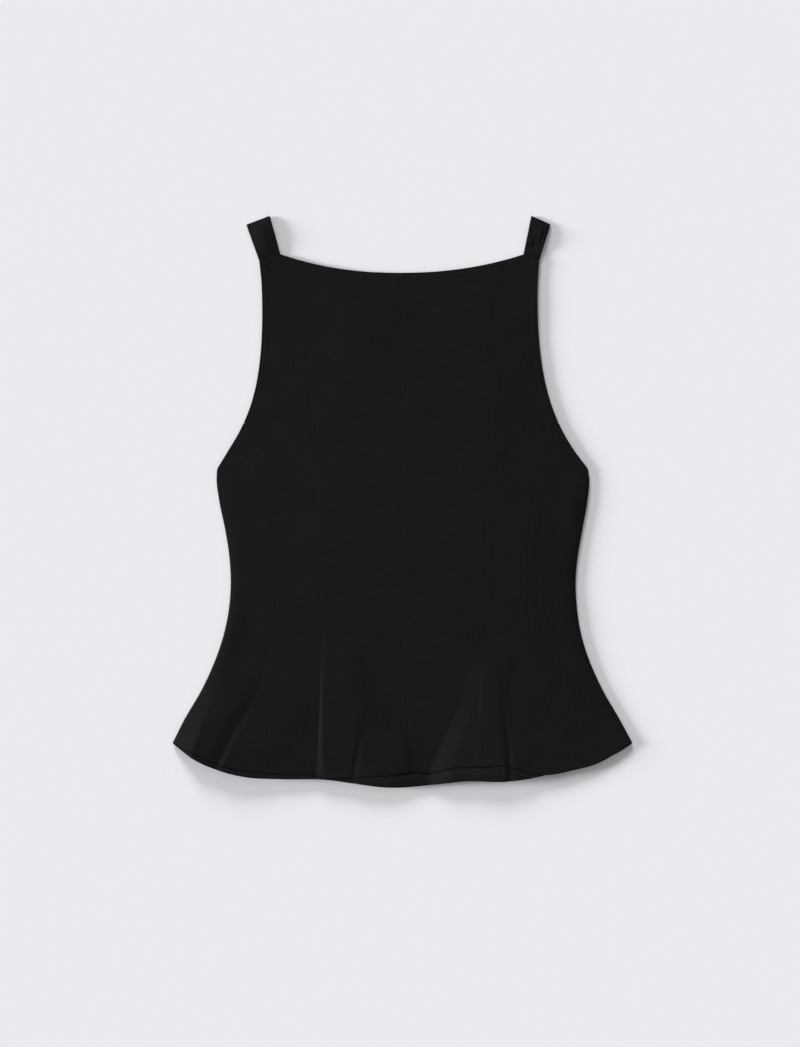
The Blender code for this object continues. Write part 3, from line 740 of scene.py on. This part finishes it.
def strap(side):
    """The ribbon: a line across it, carried from the front foot, up, round the fold's half circle and down
    to the back foot. Its upper half is lifted by the table above and by bells for the creases, and dips
    behind the front's edge."""
    foot_inner, foot_outer = (np.array(point) for point in STRAP_FEET[side])
    fold_outer, fold_inner = (np.array(point) for point in STRAP_FOLDS[side])
    share = np.linspace(0, 1, STRAP_COLUMNS)[:, None]
    foot = foot_outer + share * (foot_inner - foot_outer)
    fold = fold_outer + share * (fold_inner - fold_outer)
    ahead = (fold - foot).mean(0)
    length = np.linalg.norm(ahead)
    ahead /= length
    seam_up = (neck_y(foot[:, 0]) - foot[:, 1]) / ahead[1]  # where the front's arched edge crosses it
    to_foot = np.linspace(1, 0, STRAP_ROWS)[:, None]
    up = (length - TURN) * (1 - to_foot) + (seam_up - TUCK) * to_foot
    front = foot + (up / length)[..., None] * (fold - foot)
    back_up = up + (TUCK - BACK_TUCK) * to_foot
    back = foot + (back_up / length)[..., None] * (fold - foot)
    angle = np.linspace(0, np.pi, TURN_ROWS + 2)[1:-1]
    bow = (fold - TURN * ahead) + TURN * np.sin(angle)[:, None, None] * ahead
    along = share[:, 0] + 0 * up
    rises = STRAP_RISES[side]
    heights = np.stack([curve(rises["up"], rises[name], up) for name in list(rises)[1:]])
    lift = across(along, STRAP_SHARES[:, None, None] + 0 * up, heights, np.zeros(len(STRAP_SHARES)))
    for at, station, wide, far, height in zip(*STRAP_CREASES[side].values()):
        lift = lift + height * bell(along - at, wide) * bell(up - station, far)
    above = up - seam_up
    tucked = 0.5 * ease((0.5 - above) / 1.0)
    lift = lift * ease((above + 0.4) / 1.2) * ease((length - TURN - up) / 2.0)
    front_z = 2 * TURN - STRAP_CLOTH / 2 + lift - tucked
    bow_z = TURN + (TURN - STRAP_CLOTH / 2) * np.cos(angle)[:, None] + 0 * along[:1]
    middle = np.concatenate([
        np.dstack([front, front_z]),
        np.dstack([bow, bow_z]),
        np.dstack([back[::-1], STRAP_CLOTH / 2 + 0 * lift]),
    ])
    normal = normals_of(middle)
    normal *= np.sign(normal[0, STRAP_COLUMNS // 2, 2])  # the two straps' grids run opposite ways
    keep = rim_profile(np.minimum(share, 1 - share)[:, 0] * STRAP_WIDTH, STRAP_CLOTH)[None, :, None]
    upper = middle + normal * keep * STRAP_CLOTH / 2
    lower = middle - normal * keep * STRAP_CLOTH / 2
    piece, span, area = shell(f"strap_{side}_crepe", upper, lower, BLACK_CREPE)
    solid = bmesh.new()
    solid.from_mesh(piece.data)
    bmesh.ops.recalc_face_normals(solid, faces=solid.faces)
    solid.to_mesh(piece.data)
    solid.free()
    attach(piece, "root")
    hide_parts(f"strap_{side}")


strap("left")
strap("right")

# ---------------------------------------------------------------------------------------------------------
# The table top, the lights and the camera.


def matt(name, colour, roughness):
    """A plain matt finish."""
    material = bpy.data.materials.new(name)
    material.use_nodes = True
    shader = material.node_tree.nodes["Principled BSDF"]
    shader.inputs["Base Color"].default_value = (*colour, 1.0)
    shader.inputs["Roughness"].default_value = roughness
    shader.inputs["Specular IOR Level"].default_value = 0.1
    return material


HALF, SINK = 30.0, 0.0003  # metres: half the table's side, and how far it lies below the cloth's underside
plane = bpy.data.meshes.new("table")
corners = [(-HALF, -HALF, -SINK), (HALF, -HALF, -SINK), (HALF, HALF, -SINK), (-HALF, HALF, -SINK)]
plane.from_pydata(corners, [], [(0, 1, 2, 3)])
table_top = bpy.data.objects.new("table", plane)
table_top.data.materials.append(matt("pale_table", (0.80, 0.792, 0.83), 0.95))
bpy.context.scene.collection.objects.link(table_top)


def lamp(name, azimuth, elevation, spread, share):
    """A far softbox as wide as that spread in degrees, which gives the table that share of its light."""
    a, e = np.radians(azimuth), np.radians(elevation)
    light = bpy.data.lights.new(name, "SUN")
    light.angle = np.radians(spread)
    light.energy = share * np.pi / np.sin(e)
    box = bpy.data.objects.new(name, light)
    box.rotation_euler = (np.pi / 2 - e, 0.0, np.pi / 2 + a)
    bpy.context.scene.collection.objects.link(box)


lamp("left_softbox", azimuth=178, elevation=10, spread=13, share=0.37)
lamp("upper_softbox", azimuth=104, elevation=19, spread=18, share=0.30)

world = bpy.data.worlds.new("studio")
world.use_nodes = True
room = world.node_tree.nodes["Background"]
room.inputs["Color"].default_value = (1.0, 1.0, 1.0, 1.0)
room.inputs["Strength"].default_value = 0.37  # the share of the table's light that comes from all round
bpy.context.scene.world = world
bpy.context.scene.view_settings.view_transform = "Standard"

FRAME_HEIGHT = 1.1517  # metres of table that the camera sees from top to bottom
FRAME_CENTRE = -0.00275, -0.0241  # the point of the table straight below it, in metres
view = bpy.data.cameras.new("overhead_camera")
view.lens, view.sensor_width = 85.0, 36.0
camera = bpy.data.objects.new("overhead_camera", view)
camera.location = (*FRAME_CENTRE, FRAME_HEIGHT * view.lens / view.sensor_width)
bpy.context.scene.collection.objects.link(camera)
bpy.context.scene.camera = camera
